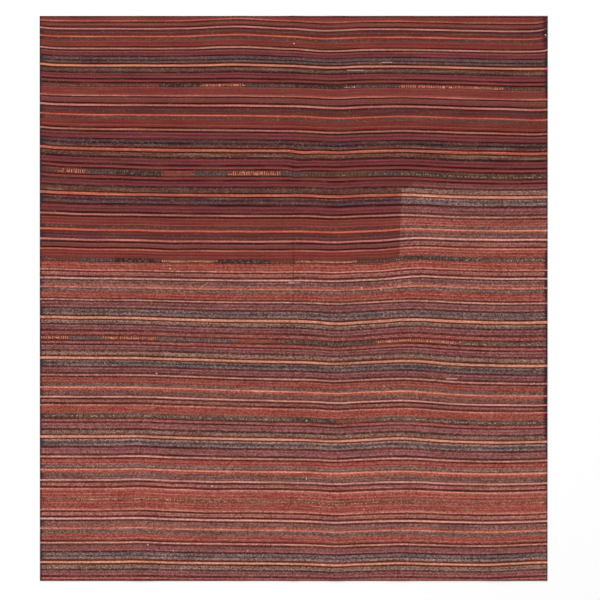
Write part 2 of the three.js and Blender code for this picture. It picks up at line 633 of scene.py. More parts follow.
@dataclass
class ClothForm:
    """Where each point of the weave lies: its drift in the plane and its height over the floor.

    Places on the chart are (across, along): millimetres from the left side and from the upper end.
    """

    width: float
    length: float
    thickness: float = 2.0
    draw_in: float = 2.0
    hem_fade: float = 13.0
    fold_line: float = 761.0
    notch_depth: float = 0.9
    notch_width: float = 1.7
    edge_round: float = 1.2
    bead_height: float = 0.45
    bead_place: float = 2.6
    bead_spread: float = 1.5
    jitter: float = 0.7
    jitter_lengths: Pair = (62, 34)
    jitter_layer: float = 3.1
    swell: float = 0.22
    swell_lengths: Pair = (55, 70)
    swell_layer: float = 8.4
    hook: float = 10.5
    hook_reach: float = 15.0
    hook_span: Pair = (50.0, 150.0)

    def drift(self, across: float, along: float) -> float:
        """How far the weft at a chart place has drifted towards the lower end, in millimetres."""
        pulled = sum(pull.at(across, along) for pull in PULLS)
        loose = chart_noise(across, along, self.jitter_lengths, self.jitter_layer) * self.jitter
        corner = self.hook * math.exp((across - self.width) / self.hook_reach)
        corner *= 1 - smooth_step(along, *self.hook_span)
        to_end = min(along, self.length - along)
        return (pulled + loose - corner) * smooth_step(to_end, 0, self.hem_fade)

    def fold_strength(self, along: float) -> float:
        """How sharply the storage fold shows at a place along the cloth, from 0 to 1."""
        shown = sum(depth * bell(along, at, spread) for at, spread, depth in FOLD_MARKS)
        return min(1.0, FOLD_TRACE + shown)

    def plan(self, across: float, along: float) -> Pair:
        """The place in the plane, x and y in millimetres from the middle, of a chart place."""
        share = along / self.length
        x = (across - self.width / 2) * (1 - share * self.draw_in / self.width)
        return x, self.length / 2 - along - self.drift(across, along)

    def lift(self, x: float, y: float) -> float:
        """How far the cloth's underside stands off the floor."""
        return sum(ridge.height(x, 2 * y / self.length) for ridge in RIDGES)

    def face(self, across: float, along: float, loft: float) -> float:
        """The height of the worn face at a chart place.

        Args:
            across: Millimetres from the left side.
            along: Millimetres from the upper end.
            loft: How far the line of picks stands up there, in millimetres.

        Returns:
            The height over the underside in millimetres.
        """
        to_side = min(across, self.width - across)
        rounded = math.sqrt(max(0.0, 1 - (1 - min(to_side / self.edge_round, 1)) ** 2))
        bead = self.bead_height * bell(to_side, self.bead_place, self.bead_spread)
        notch = self.notch_depth * bell(across, self.fold_line, self.notch_width)
        notch *= self.fold_strength(along)
        swell = chart_noise(across, along, self.swell_lengths, self.swell_layer) * self.swell
        full = self.thickness + loft + swell - notch
        return self.thickness / 2 + (full - self.thickness / 2) * rounded + bead

    def point(self, across: float, along: float, loft: float) -> Vector:
        """The point of the worn face at a chart place, in metres in the part's frame."""
        x, y = self.plan(across, along)
        return Vector((x, y, self.lift(x, y) + self.face(across, along, loft))) * MM


@dataclass(frozen=True)
class Wool:
    """How woollen yarn takes the light."""

    roughness: float = 0.93
    specular: float = 0.05
    sheen: float = 0.05
    sheen_roughness: float = 0.6


class Graph:
    """A material's node tree, built a socket at a time."""

    # Where a mix node has its two colour inputs and its mixed colour.
    MIX_A, MIX_B, MIXED = 6, 7, 2

    def __init__(self, name: str) -> None:
        """Makes an empty material of that name."""
        self.material = bpy.data.materials.new(name)
        self.material.use_nodes = True
        self.tree = self.material.node_tree
        self.tree.nodes.clear()

    def node(self, kind: str, **settings: object) -> bpy.types.Node:
        """Adds a node and sets its properties."""
        made = self.tree.nodes.new(kind)
        for name, value in settings.items():
            setattr(made, name, value)
        return made

    def feed(self, socket: Socket, value: object) -> None:
        """Gives an input a number, a colour or another node's output."""
        if isinstance(value, Socket):
            self.tree.links.new(value, socket)
        else:
            socket.default_value = value

    def math(self, operation: str, *values: object) -> Socket:
        """One step of arithmetic on one to three numbers or outputs."""
        made = self.node("ShaderNodeMath", operation=operation)
        for socket, value in zip(made.inputs, values, strict=False):
            self.feed(socket, value)
        return made.outputs[0]

    def step(self, value: object, start: float, end: float) -> Socket:
        """A smooth rise from 0 at start to 1 at end, or a fall where start is the larger."""
        made = self.node("ShaderNodeMapRange", interpolation_type="SMOOTHSTEP")
        low, high = min(start, end), max(start, end)
        rising = start < end
        targets = (0.0, 1.0) if rising else (1.0, 0.0)
        for socket, given in zip(made.inputs, (value, low, high, *targets), strict=False):
            self.feed(socket, given)
        return made.outputs[0]

    def mix(self, factor: object, a: object, b: object) -> Socket:
        """Mixes two colours."""
        made = self.node("ShaderNodeMix", data_type="RGBA", clamp_factor=True)
        self.feed(made.inputs[0], factor)
        self.feed(made.inputs[self.MIX_A], a)
        self.feed(made.inputs[self.MIX_B], b)
        return made.outputs[self.MIXED]

    def scaled(self, colour: object, factor: object) -> Socket:
        """A colour made lighter or darker by a number."""
        made = self.node("ShaderNodeVectorMath", operation="SCALE")
        self.feed(made.inputs[0], colour)
        self.feed(made.inputs["Scale"], factor)
        return made.outputs[0]

    def lifted(self, colour: object, amount: object) -> Socket:
        """A colour made paler, or deeper below 0, by a step that is less for a dark colour."""
        grey = self.node("ShaderNodeRGBToBW")
        self.feed(grey.inputs[0], colour)
        gain = self.math("MINIMUM", PALE_LIMIT, self.math("MULTIPLY", grey.outputs[0], PALE_GAIN))
        moved = self.node("ShaderNodeVectorMath", operation="ADD")
        self.feed(moved.inputs[0], colour)
        self.feed(moved.inputs[1], self.math("MULTIPLY", amount, gain))
        kept = self.node("ShaderNodeVectorMath", operation="MAXIMUM")
        self.feed(kept.inputs[0], moved.outputs[0])
        return kept.outputs[0]

    def vector(self, x: object, y: object) -> Socket:
        """Two numbers as a vector in a plane."""
        made = self.node("ShaderNodeCombineXYZ")
        self.feed(made.inputs[0], x)
        self.feed(made.inputs[1], y)
        return made.outputs[0]

    def blotches(self, across: object, along: object, lengths: Pair, detail: float) -> Socket:
        """Smooth noise over the chart, from 0 to 1, one blotch to each length across and along."""
        x, y = self.math("DIVIDE", across, lengths[0]), self.math("DIVIDE", along, lengths[1])
        made = self.node("ShaderNodeTexNoise", noise_dimensions="2D")
        self.feed(made.inputs["Vector"], self.vector(x, y))
        made.inputs["Scale"].default_value = 1.0
        made.inputs["Detail"].default_value = detail
        return made.outputs[0]

    def bump(self, height: object, depth: float, strength: float = 1.0) -> Socket:
        """The normal of a relief of that depth, in metres."""
        made = self.node("ShaderNodeBump")
        made.inputs["Strength"].default_value = strength
        made.inputs["Distance"].default_value = depth
        self.feed(made.inputs["Height"], height)
        return made.outputs[0]

    def attribute(self, name: str) -> bpy.types.Node:
        """A node that reads one of the mesh's own attributes."""
        return self.node("ShaderNodeAttribute", attribute_type="GEOMETRY", attribute_name=name)

    def finish(self, colour: object, normal: object, wool: Wool) -> Material:
        """Ends the tree in one woollen surface.

        Args:
            colour: The surface's colour.
            normal: The output of its bump node.
            wool: How it takes the light.

        Returns:
            The finished material.
        """
        surface = self.node("ShaderNodeBsdfPrincipled")
        surface.inputs["Roughness"].default_value = wool.roughness
        surface.inputs["Specular IOR Level"].default_value = wool.specular
        surface.inputs["Sheen Weight"].default_value = wool.sheen
        surface.inputs["Sheen Roughness"].default_value = wool.sheen_roughness
        self.feed(surface.inputs["Base Color"], colour)
        self.feed(surface.inputs["Normal"], normal)
        output = self.node("ShaderNodeOutputMaterial")
        self.tree.links.new(surface.outputs[0], output.inputs["Surface"])
        return self.material


@dataclass(frozen=True)
class WornPatch:
    """A part of the face that is worn, in chart millimetres. A side left at None is open."""

    amount: float
    soft: float
    left: float | None = None
    top: float | None = None
    bottom: float | None = None
    lean: float = 0.0

    def mask(self, graph: Graph, across: object, along: object) -> Socket:
        """The patch's own wear at each point, from 0 to its amount.

        Args:
            graph: The material's tree.
            across: Output that holds millimetres from the left side.
            along: Output that holds millimetres from the upper end.

        Returns:
            The output that holds the wear.
        """
        found: object = self.amount
        if self.left is not None:
            upright = graph.math("MULTIPLY_ADD", along, self.lean, across)
            side = graph.step(upright, self.left - self.soft, self.left + self.soft)
            found = graph.math("MULTIPLY", found, side)
        if self.top is not None:
            begun = graph.step(along, self.top - self.soft, self.top + self.soft)
            found = graph.math("MULTIPLY", found, begun)
        if self.bottom is not None:
            ended = graph.step(along, self.bottom + self.soft, self.bottom - self.soft)
            found = graph.math("MULTIPLY", found, ended)
        return found


@dataclass(frozen=True)
class WornFlatweave:
    """The cloth's finish: beads of wool over the warps, worn in patches until the pale warp shows."""

    chart_scale: float
    wool: Wool = Wool()
    warp_pitch: float = 3.1
    pick_pitch: float = 2.15
    warp_colour: Colour = (214, 184, 156)
    base_wear: float = 0.10
    wear_swing: float = 0.5
    wear_lengths: Pair = (90.0, 24.0)
    ply_shown: float = 0.30
    least_grit: float = 0.6
    worn_grit: float = 0.6
    fresh_grain: float = 0.007
    worn_grain: float = 0.042
    smooth_grit: float = 0.16
    fleck_share: float = 0.42
    fleck_strength: float = 0.26
    fleck_wear: float = 0.5
    # Painted shade in the valleys between lines of picks, and a painted highlight on their crests.
    valley_shade: float = 0.72
    valley_shade_step: float = -0.0192
    crest_highlight: float = 0.032
    rib_depth: float = 0.10
    rib_lengths: Pair = (4.6, 46.0)
    spun_depth: float = 0.36
    spun_lengths: Pair = (22.0, 1.6)
    soil_depth: float = 0.16
    soil_lengths: Pair = (260.0, 90.0)
    least_tone: float = 0.75
    bead_depth: float = 0.00035
    bead_strength: float = 0.5
    bead_round: float = 0.6
    patches: tuple[WornPatch, ...] = (
        WornPatch(amount=0.55, soft=10, left=1117, top=490, bottom=525),
        WornPatch(amount=0.95, soft=1.6, left=1107, top=511, bottom=739, lean=0.04),
        WornPatch(amount=1.0, soft=1.6, top=738),
    )

    def material(self) -> Material:
        """Builds the finish on the cloth's chart map and its dye attributes."""
        graph = Graph("worn_flatweave")
        across, along = self._chart(graph)
        wear = self._wear(graph, across, along)
        pick = graph.math("DIVIDE", along, self.pick_pitch)
        row = graph.math("FLOOR", pick)
        shift = graph.math("MULTIPLY", graph.math("MODULO", row, 2.0), 0.5)
        bead = graph.math("ADD", graph.math("DIVIDE", across, self.warp_pitch), shift)
        chance = graph.node("ShaderNodeTexWhiteNoise", noise_dimensions="2D")
        graph.feed(chance.inputs["Vector"], graph.vector(graph.math("FLOOR", bead), row))
        chances = graph.node("ShaderNodeSeparateColor")
        graph.feed(chances.inputs[0], chance.outputs["Color"])
        colour = self._colour(graph, wear, chances.outputs, across, along)
        return graph.finish(colour, self._bump(graph, bead, pick), self.wool)

    def _chart(self, graph: Graph) -> tuple[Socket, Socket]:
        """The chart place of a point, in millimetres, from the cloth's own map."""
        chart = graph.node("ShaderNodeUVMap", uv_map="weft_chart")
        sized = graph.node("ShaderNodeVectorMath", operation="SCALE")
        graph.feed(sized.inputs[0], chart.outputs[0])
        sized.inputs["Scale"].default_value = self.chart_scale
        parts = graph.node("ShaderNodeSeparateXYZ")
        graph.feed(parts.inputs[0], sized.outputs[0])
        return parts.outputs[0], parts.outputs[1]

    def _wear(self, graph: Graph, across: object, along: object) -> Socket:
        """How worn the face is, from 0 to 1: the most worn patch, made a little uneven."""
        wear: object = self.base_wear
        for patch in self.patches:
            wear = graph.math("MAXIMUM", wear, patch.mask(graph, across, along))
        blotch = graph.blotches(across, along, self.wear_lengths, detail=2.0)
        uneven = graph.math("MULTIPLY_ADD", blotch, self.wear_swing, 1 - self.wear_swing / 2)
        return graph.math("MULTIPLY", wear, uneven)

    def _colour(
        self, graph: Graph, wear: object, chances: Sequence[object], across: object, along: object,
    ) -> Socket:
        """The weave's colour at a point.

        Args:
            graph: The material's tree.
            wear: How worn the face is.
            chances: Three even chances that differ from bead to bead.
            across: Millimetres from the left side.
            along: Millimetres from the upper end.

        Returns:
            The output that holds the colour.
        """
        dyed = self._beads(graph, wear, chances)
        dyed = self._flecks(graph, dyed, wear, chances[2])
        # Painted shade in the valleys between lines of picks and a painted highlight on their crests.
        dyed = self._painted_crest_shading(graph, dyed)
        return self._streaks(graph, dyed, across, along)

    def _beads(self, graph: Graph, wear: object, chances: Sequence[object]) -> Socket:
        """Each bead's dye: fresh or worn, here and there with its second strand, and uneven."""
        fresh, worn, ply = (graph.attribute(name) for name in DYE_LAYERS)
        dyed = graph.mix(wear, fresh.outputs["Color"], worn.outputs["Color"])
        marled = graph.math("LESS_THAN", chances[1], ply.outputs["Alpha"])
        dyed = graph.mix(graph.math("MULTIPLY", marled, self.ply_shown), dyed, ply.outputs["Color"])
        grit = graph.math("MULTIPLY_ADD", wear, self.worn_grit, self.least_grit)
        grit = graph.math("MULTIPLY", worn.outputs["Alpha"], grit)
        swing = graph.math("MULTIPLY_ADD", chances[0], 2.0, -1.0)
        dyed = graph.scaled(dyed, graph.math("MULTIPLY_ADD", swing, grit, 1.0))
        grain = graph.math("MULTIPLY_ADD", wear, self.worn_grain, self.fresh_grain)
        return graph.lifted(dyed, graph.math("MULTIPLY", swing, grain))

    def _flecks(self, graph: Graph, dyed: object, wear: object, chance: object) -> Socket:
        """The dye with the bare warp showing at a few beads of the rougher yarns."""
        worn = graph.attribute(DYE_LAYERS[1])
        rough = graph.math("SUBTRACT", worn.outputs["Alpha"], self.smooth_grit)
        bare = graph.math("LESS_THAN", chance, graph.math("MULTIPLY", rough, self.fleck_share))
        shown = graph.math("MULTIPLY_ADD", wear, self.fleck_wear, 1 - self.fleck_wear)
        bare = graph.math("MULTIPLY", graph.math("MULTIPLY", bare, shown), self.fleck_strength)
        return graph.mix(bare, dyed, (*linear(self.warp_colour), 1.0))

    def _painted_crest_shading(self, graph: Graph, dyed: object) -> Socket:
        """Painted shade between the lines of picks and a painted highlight on their crests, laid over the
        dye.
        """
        crest = graph.math("SQRT", graph.attribute("crest").outputs["Fac"])
        shaded = graph.math("MULTIPLY_ADD", crest, 1 - self.valley_shade, self.valley_shade)
        paler = graph.math("MULTIPLY_ADD", crest, self.crest_highlight, self.valley_shade_step)
        return graph.lifted(graph.scaled(dyed, shaded), paler)

    def _streaks(self, graph: Graph, dyed: object, across: object, along: object) -> Socket:
        """The dye with faint ribs along the warp, uneven spinning along the wefts and broad soiling."""
        rib = graph.blotches(across, along, self.rib_lengths, detail=1.0)
        ribbed = graph.math("MULTIPLY_ADD", rib, 2 * self.rib_depth, 1 - self.rib_depth)
        spun = graph.blotches(across, along, self.spun_lengths, detail=2.0)
        soil = graph.blotches(across, along, self.soil_lengths, detail=3.0)
        tone = graph.math("MULTIPLY_ADD", soil, self.soil_depth, self.least_tone)
        tone = graph.math("MULTIPLY_ADD", spun, self.spun_depth, tone)
        return graph.scaled(graph.scaled(dyed, ribbed), tone)

    def _bump(self, graph: Graph, bead: object, pick: object) -> Socket:
        """The relief of the beads, each half a bead along from those of the next pick."""
        waves = (graph.math("SINE", graph.math("MULTIPLY", turns, math.pi)) for turns in (bead, pick))
        round_across, round_along = (graph.math("ABSOLUTE", wave) for wave in waves)
        height = graph.math("MULTIPLY", graph.math("POWER", round_across, self.bead_round), round_along)
        return graph.bump(height, self.bead_depth, self.bead_strength)


@dataclass(frozen=True)
class LooseYarn:
    """The finish of floats and knots: dyed yarn with the twist of its plies."""

    wool: Wool = Wool(roughness=0.9, specular=0.16, sheen=0.1)
    twist_pitch: float = 0.0011
    twist_depth: float = 0.00015
    twist_shade: float = 0.5

    def material(self) -> Material:
        """Builds the finish on the yarn's own colour attribute."""
        graph = Graph("loose_yarn")
        dye = graph.attribute("strand_dye")
        place = graph.node("ShaderNodeTexCoord")
        fuzz = graph.node("ShaderNodeTexNoise")
        graph.feed(fuzz.inputs["Vector"], place.outputs["Object"])
        fuzz.inputs["Scale"].default_value = 1 / self.twist_pitch
        fuzz.inputs["Detail"].default_value = 2.0
        tone = graph.math("MULTIPLY_ADD", fuzz.outputs[0], self.twist_shade, 1 - self.twist_shade / 2)
        colour = graph.scaled(dye.outputs["Color"], tone)
        return graph.finish(colour, graph.bump(fuzz.outputs[0], self.twist_depth), self.wool)


def make_piece(name: str, bm: BMesh, material: Material) -> Piece:
    """Turns a finished bmesh into a piece that rides on the cloth's body.

    Args:
        name: The piece's name.
        bm: Its mesh, in metres in the part's frame, which is freed.
        material: Its finish.

    Returns:
        The new object.
    """
    mesh = bpy.data.meshes.new(name)
    bm.to_mesh(mesh)
    bm.free()
    mesh.materials.append(material)
    mesh.shade_smooth()
    piece = bpy.data.objects.new(name, mesh)
    bpy.context.scene.collection.objects.link(piece)
    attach(piece, "root")
    return piece


@dataclass
class WovenCloth:
    """The kilim's one cloth: a fine face of picks, rounded sides and a plain underside."""

    form: ClothForm
    chart: WeftChart
    finish: WornFlatweave
    name: str = "kilim_weave"
    column_pitch: float = 15.5
    under_pitch: float = 77.0
    under_crest: float = 0.6
    side_columns: tuple[float, ...] = (0.8, 2.2, 4.2, 6.6, 9.6, 12.8, 17.0, 22.0)
    fold_columns: tuple[float, ...] = (0.9, 2.4, 6.0, 14.0)
    # Painted shade along the crease of the storage fold, as a share of the colour.
    fold_crease_shade: float = 0.5
    # The dark left cord is partly the unfaded dye and partly painted shade of the rounded edge.
    left_cord: float = 6.0
    left_ink_span: Pair = (6, 21)
    left_ink_share: float = 0.6
    left_pink: Colour = (180, 96, 88)
    left_pink_share: float = 0.5
    pink_spans: tuple[Pair, ...] = ((125, 175), (1090, 1225))
    pink_trace: float = 0.15
    covered_end: float = 80.0
    covered_share: float = 0.75
    # Painted shade on the outermost millimetres of the right side's rounded edge.
    outer_cord: float = 3.0
    outer_shade: float = 0.85
    edge_blend: Pair = (0.7, 1.4)
    upper_span: Pair = (215, 260)
    fresh_pale: float = 0.022
    worn_pale: float = 0.026
    abrash: float = 0.14
    abrash_lengths: Pair = (100, 7)
    abrash_layer: float = 5.7
    abrash_grit: float = 0.5
    middle_fade: float = 0.05
    middle_fade_place: Pair = (650, 80)
    lower_fade: float = 0.12
    lower_fade_span: Pair = (1100, 1350)
    right_fade: float = 0.045
    right_fade_span: Pair = (700, 1100)
    hue_swing: float = 0.95
    hue_lengths: Pair = (95.0, 4.3)
    hue_layer: float = 9.2
    bright_hue_share: float = 0.5
    ply_share: float = 0.6
    plain_brown: Colour = (112, 74, 50)
    brown_share: float = 0.2

    def build(self) -> Piece:
        """Builds the cloth as one closed mesh and hides the solid that it stands for."""
        bm = bmesh.new()
        face_rim = self._face(bm)
        woven = set(bm.faces)
        under_rim = self._underside(bm)
        for upper, lower in zip(face_rim, under_rim, strict=True):
            bmesh.ops.bridge_loops(bm, edges=upper + lower)
        bmesh.ops.recalc_face_normals(bm, faces=bm.faces[:])
        self._dye_plain_faces(bm, woven)
        piece = make_piece(self.name, bm, self.finish.material())
        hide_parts(NODE)
        return piece

    def columns(self) -> list[float]:
        """The columns' places, in millimetres from the left side, closer at the sides and the fold."""
        width, fold = self.form.width, self.form.fold_line
        fixed = {0.0, width, fold}
        fixed |= {place for step in self.side_columns for place in (step, width - step)}
        fixed |= {place for step in self.fold_columns for place in (fold - step, fold + step)}
        places = sorted(fixed)
        found = [places[0]]
        for place in places[1:]:
            start = found[-1]
            count = math.ceil((place - start) / self.column_pitch)
            found += [start + (place - start) * i / count for i in range(1, count + 1)]
        return found

    def rows(self) -> list[Pair]:
        """Each row's place along the cloth and its loft. A line has two rows, its valley and its crest."""
        found = []
        for line in self.chart.lines:
            loft = line.dye.loft if line.dye else GROUND_LOFT
            found += [(line.start, 0.0), ((line.start + line.end) / 2, loft)]
        return [*found, (self.chart.length, 0.0)]

    def _face(self, bm: BMesh) -> Rim:
        """Builds the worn face, and returns its rim as four chains of edges."""
        columns, rows = self.columns(), self.rows()
        across, along = len(columns) - 1, len(rows) - 1
        crest = bm.verts.layers.float.new("crest")
        grid = bmesh.ops.create_grid(bm, x_segments=across, y_segments=along, size=1.0)["verts"]
        places = {}
        for vert in grid:
            i, j = self._index(vert, across, along)
            places[vert] = (i, j)
            vert[crest] = float(j % 2)
            vert.co = self.form.point(columns[i], rows[j][0], rows[j][1])
        self._dye_face(bm, places, columns, rows)
        return self._rim(bm.edges[:], places, across, along)

    def _underside(self, bm: BMesh) -> Rim:
        """Builds the plain underside, and returns its rim as four chains of edges."""
        columns = self.columns()
        across, along = len(columns) - 1, round(self.form.length / self.under_pitch)
        known = set(bm.edges)
        crest = bm.verts.layers.float["crest"]
        grid = bmesh.ops.create_grid(bm, x_segments=across, y_segments=along, size=1.0)["verts"]
        places = {}
        for vert in grid:
            i, j = self._index(vert, across, along)
            places[vert] = (i, j)
            vert[crest] = self.under_crest
            share = j / along
            x = (columns[i] - self.form.width / 2) * (1 - share * self.form.draw_in / self.form.width)
            y = self.form.length * (0.5 - share)
            vert.co = Vector((x, y, self.form.lift(x, y))) * MM
        return self._rim([edge for edge in bm.edges if edge not in known], places, across, along)

    @staticmethod
    def _index(vert: bmesh.types.BMVert, across: int, along: int) -> tuple[int, int]:
        """Which column from the left and which row from the upper end a fresh grid's point is."""
        return round((vert.co.x + 1) / 2 * across), round((1 - vert.co.y) / 2 * along)

    @staticmethod
    def _rim(edges: list[bmesh.types.BMEdge], places: GridPlaces, across: int, along: int) -> Rim:
        """Sorts a grid's outer edges into its left, right, upper and lower chains."""
        sides: Rim = [[], [], [], []]
        for edge in edges:
            (i, j), (k, m) = (places[vert] for vert in edge.verts)
            for side, on_it in enumerate((i == k == 0, i == k == across, j == m == 0, j == m == along)):
                if on_it:
                    sides[side].append(edge)
        return sides

    def _dye_face(self, bm: BMesh, places: GridPlaces, columns: list[float], rows: list[Pair]) -> None:
        """Gives each corner of each face its dyes and its place on the weft chart."""
        fresh, worn, ply = (bm.loops.layers.float_color.new(name) for name in DYE_LAYERS)
        chart = bm.loops.layers.uv.new("weft_chart")
        scale = self.finish.chart_scale
        dyes = {}
        for face in bm.faces:
            line = min(places[vert][1] for vert in face.verts) // 2
            for loop in face.loops:
                column, row = places[loop.vert]
                key = (column, line)
                if key not in dyes:
                    dyes[key] = self._dyes(self.chart.lines[line], columns[column])
                loop[fresh], loop[worn], loop[ply] = dyes[key]
                loop[chart].uv = (columns[column] / scale, rows[row][0] / scale)

    def _dyes(self, line: Line, across: float) -> tuple[tuple[float, ...], ...]:
        """A place's fresh dye, its worn dye with the grit, and its second strand with the marl."""
        dye = line.dye_at(across)
        other, share = self._hue(line, dye, across)
        fresh, worn = (blend(linear(colour), other, share) for colour in (dye.fresh, dye.worn))
        fresh = blend(fresh, worn, dye.upper * (1 - smooth_step(line.start, *self.upper_span)))
        tone = self._tone(line, dye, across)
        kept, edge = self._selvedge(line, dye.edge, across)
        pales = (self.fresh_pale, self.worn_pale, self.fresh_pale)
        colours = []
        for colour, pale in zip((fresh, worn, linear(dye.ply)), pales, strict=True):
            colours.append(blend(lift(shade(colour, tone), pale * line.pale), kept, edge))
        inner = 1 - edge
        return (*colours[0], 1.0), (*colours[1], dye.grit * inner), (*colours[2], dye.marl * inner)

    def _tone(self, line: Line, dye: Dye, across: float) -> float:
        """How light or dark a place is, by its dye lot, painted shade along the line of the fold and the
        fading.
        """
        abrash = chart_noise(across, line.start, self.abrash_lengths, self.abrash_layer)
        abrash *= self.abrash + dye.grit * self.abrash_grit
        # Painted shade darkens the colour along the crease of the storage fold.
        fold = self.fold_crease_shade * bell(across, self.form.fold_line, self.form.notch_width)
        faded = 1 + self.lower_fade * smooth_step(line.start, *self.lower_fade_span)
        faded += self.right_fade * smooth_step(across, *self.right_fade_span)
        faded += self.middle_fade * bell(line.start, *self.middle_fade_place)
        return (line.tone + abrash) * (1 - fold * self.form.fold_strength(line.start)) * faded

    def _hue(self, line: Line, dye: Dye, across: float) -> tuple[Rgb, float]:
        """What a place's dye leans to, its second strand or a plain brown, and how far."""
        hue = chart_noise(across, line.start, self.hue_lengths, self.hue_layer) * self.hue_swing
        hue *= self.bright_hue_share if dye.edge is Edge.HOT_PINK else 1.0
        if hue > 0:
            return linear(dye.ply), min(hue, self.ply_share)
        return linear(self.plain_brown), min(-hue, self.brown_share)

    def _selvedge(self, line: Line, kind: Edge, across: float) -> tuple[Rgb, float]:
        """The sides' colour: a thin left cord, partly unfaded dye and partly painted shade, and a deeper
        unfaded band at the right with painted shade at its very edge.

        Args:
            line: The line of picks.
            kind: What its dye kept of its first colour.
            across: Millimetres from the left side.

        Returns:
            The colour, and how much of it shows.
        """
        bright = kind is Edge.HOT_PINK
        # The left cord's darkness: unfaded dye and painted shade of the rounded edge together.
        if across < self.left_cord:
            return (linear(self.left_pink), self.left_pink_share) if bright else (linear(kind.value), 1.0)
        if kind is Edge.INK and across < self.left_ink_span[1]:
            return linear(kind.value), self.left_ink_share * (1 - smooth_step(across, *self.left_ink_span))
        inside = self.form.width - across
        shown = 1 - smooth_step(inside, *(line.edge_reach * share for share in self.edge_blend))
        # Painted shade darkens the outermost millimetres of the right side.
        outer_edge_shade = self.outer_shade if inside < self.outer_cord else 1.0
        if bright and line.start < self.covered_end:
            return linear(Edge.MAROON.value), shown * self.covered_share
        if bright and not any(first < line.start < last for first, last in self.pink_spans):
            shown *= self.pink_trace
        return shade(linear(kind.value), outer_edge_shade), shown

    @staticmethod
    def _dye_plain_faces(bm: BMesh, woven: set[bmesh.types.BMFace]) -> None:
        """Gives the faces that aren't of the woven face, the sides and the underside, one dark dye."""
        layers = [bm.loops.layers.float_color[name] for name in DYE_LAYERS]
        dye = Yarn.END_CORD.value
        plain = [(*linear(dye.fresh), 1.0), (*linear(dye.worn), dye.grit), (*linear(dye.ply), dye.marl)]
        for loop in (loop for face in bm.faces if face not in woven for loop in face.loops):
            for layer, colour in zip(layers, plain, strict=True):
                loop[layer] = colour


@dataclass
class YarnPile:
    """A joined mesh of short yarns, each an ellipsoid of a few faces.

    They are made a handful at a time in a small mesh, because an operator slows down as its mesh grows.
    """

    around: int = 6
    lengthwise: int = 4
    handful: int = 24
    whole: BMesh = field(init=False)
    part: BMesh = field(init=False)
    laid: int = 0

    def __post_init__(self) -> None:
        """Starts the whole mesh and the first handful."""
        self.whole, self.part = self._empty(), self._empty()

    @staticmethod
    def _empty() -> BMesh:
        """An empty mesh with the colour attribute that the yarns' finish reads."""
        bm = bmesh.new()
        bm.faces.layers.float_color.new("strand_dye")
        return bm

    def lay(self, ends: tuple[Vector, Vector], thickness: float, colour: Rgb) -> None:
        """Lays one short yarn between two points.

        Args:
            ends: Its two ends, in metres.
            thickness: Its thickness in metres.
            colour: Its dye, as linear light.
        """
        way = ends[1] - ends[0]
        turn = way.to_track_quat("Z", "Y").to_matrix().to_4x4()
        size = Matrix.Diagonal((thickness / 2, thickness / 2, way.length / 2, 1.0))
        place = Matrix.Translation((ends[0] + ends[1]) / 2) @ turn @ size
        made = bmesh.ops.create_uvsphere(
            self.part, u_segments=self.around, v_segments=self.lengthwise, radius=1.0, matrix=place,
        )["verts"]
        layer = self.part.faces.layers.float_color["strand_dye"]
        for face in {face for vert in made for face in vert.link_faces}:
            face[layer] = (*colour, 1.0)
        self.laid += 1
        if self.laid % self.handful == 0:
            self._gather()

    def _gather(self) -> None:
        """Moves the handful into the whole mesh and starts another."""
        mesh = bpy.data.meshes.new("handful")
        self.part.to_mesh(mesh)
        self.part.free()
        self.whole.from_mesh(mesh)
        bpy.data.meshes.remove(mesh)
        self.part = self._empty()

    def finish(self) -> BMesh:
        """Gathers the last handful and returns the whole mesh."""
        self._gather()
        self.part.free()
        return self.whole


